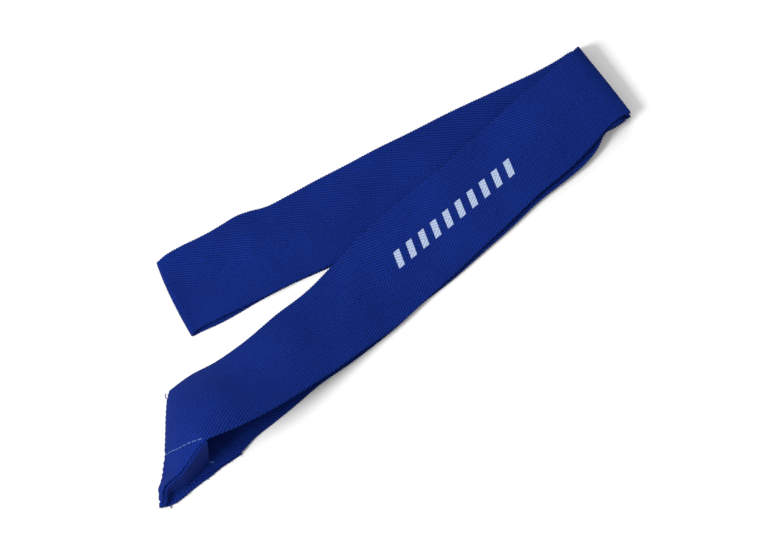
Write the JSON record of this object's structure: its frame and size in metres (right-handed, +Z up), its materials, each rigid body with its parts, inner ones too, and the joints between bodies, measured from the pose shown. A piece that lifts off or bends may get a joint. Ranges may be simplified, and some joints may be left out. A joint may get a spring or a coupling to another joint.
{
  "type": "team headband",
  "caption": "Loop of wide herringbone tape lying flat and folded in two, with a crossed sewn corner lap standing open at one end and a plain printed mark.",
  "frame": {"origin": "on the table under the middle of the object's box", "axes": "+X along the front leg from the sewn lap to the middle fold, +Y towards the back leg, +Z up off the table"},
  "size_m": [0.3482, 0.118, 0.0333],
  "materials": {
    "cotton_tape": "matt herringbone twill, royal blue",
    "sewing_thread": "spun polyester, light blue",
    "tape_yarn": "loose dyed thread ends",
    "print_ink": "thin screen-print film, pale grey-blue"
  },
  "bodies": {
    "root": {"bobbin_thread_inner_row": "sewing_thread", "bobbin_thread_middle_row": "sewing_thread", "bobbin_thread_outer_row": "sewing_thread", "loose_thread_inner_corner": "tape_yarn", "loose_thread_lower_tip": "tape_yarn", "loose_thread_upper_tip": "tape_yarn", "needle_thread_inner_row": "sewing_thread", "needle_thread_middle_row": "sewing_thread", "needle_thread_outer_row": "sewing_thread", "printed_mark": "print_ink", "woven_tape": "cotton_tape"}
  },
  "joints": []
}
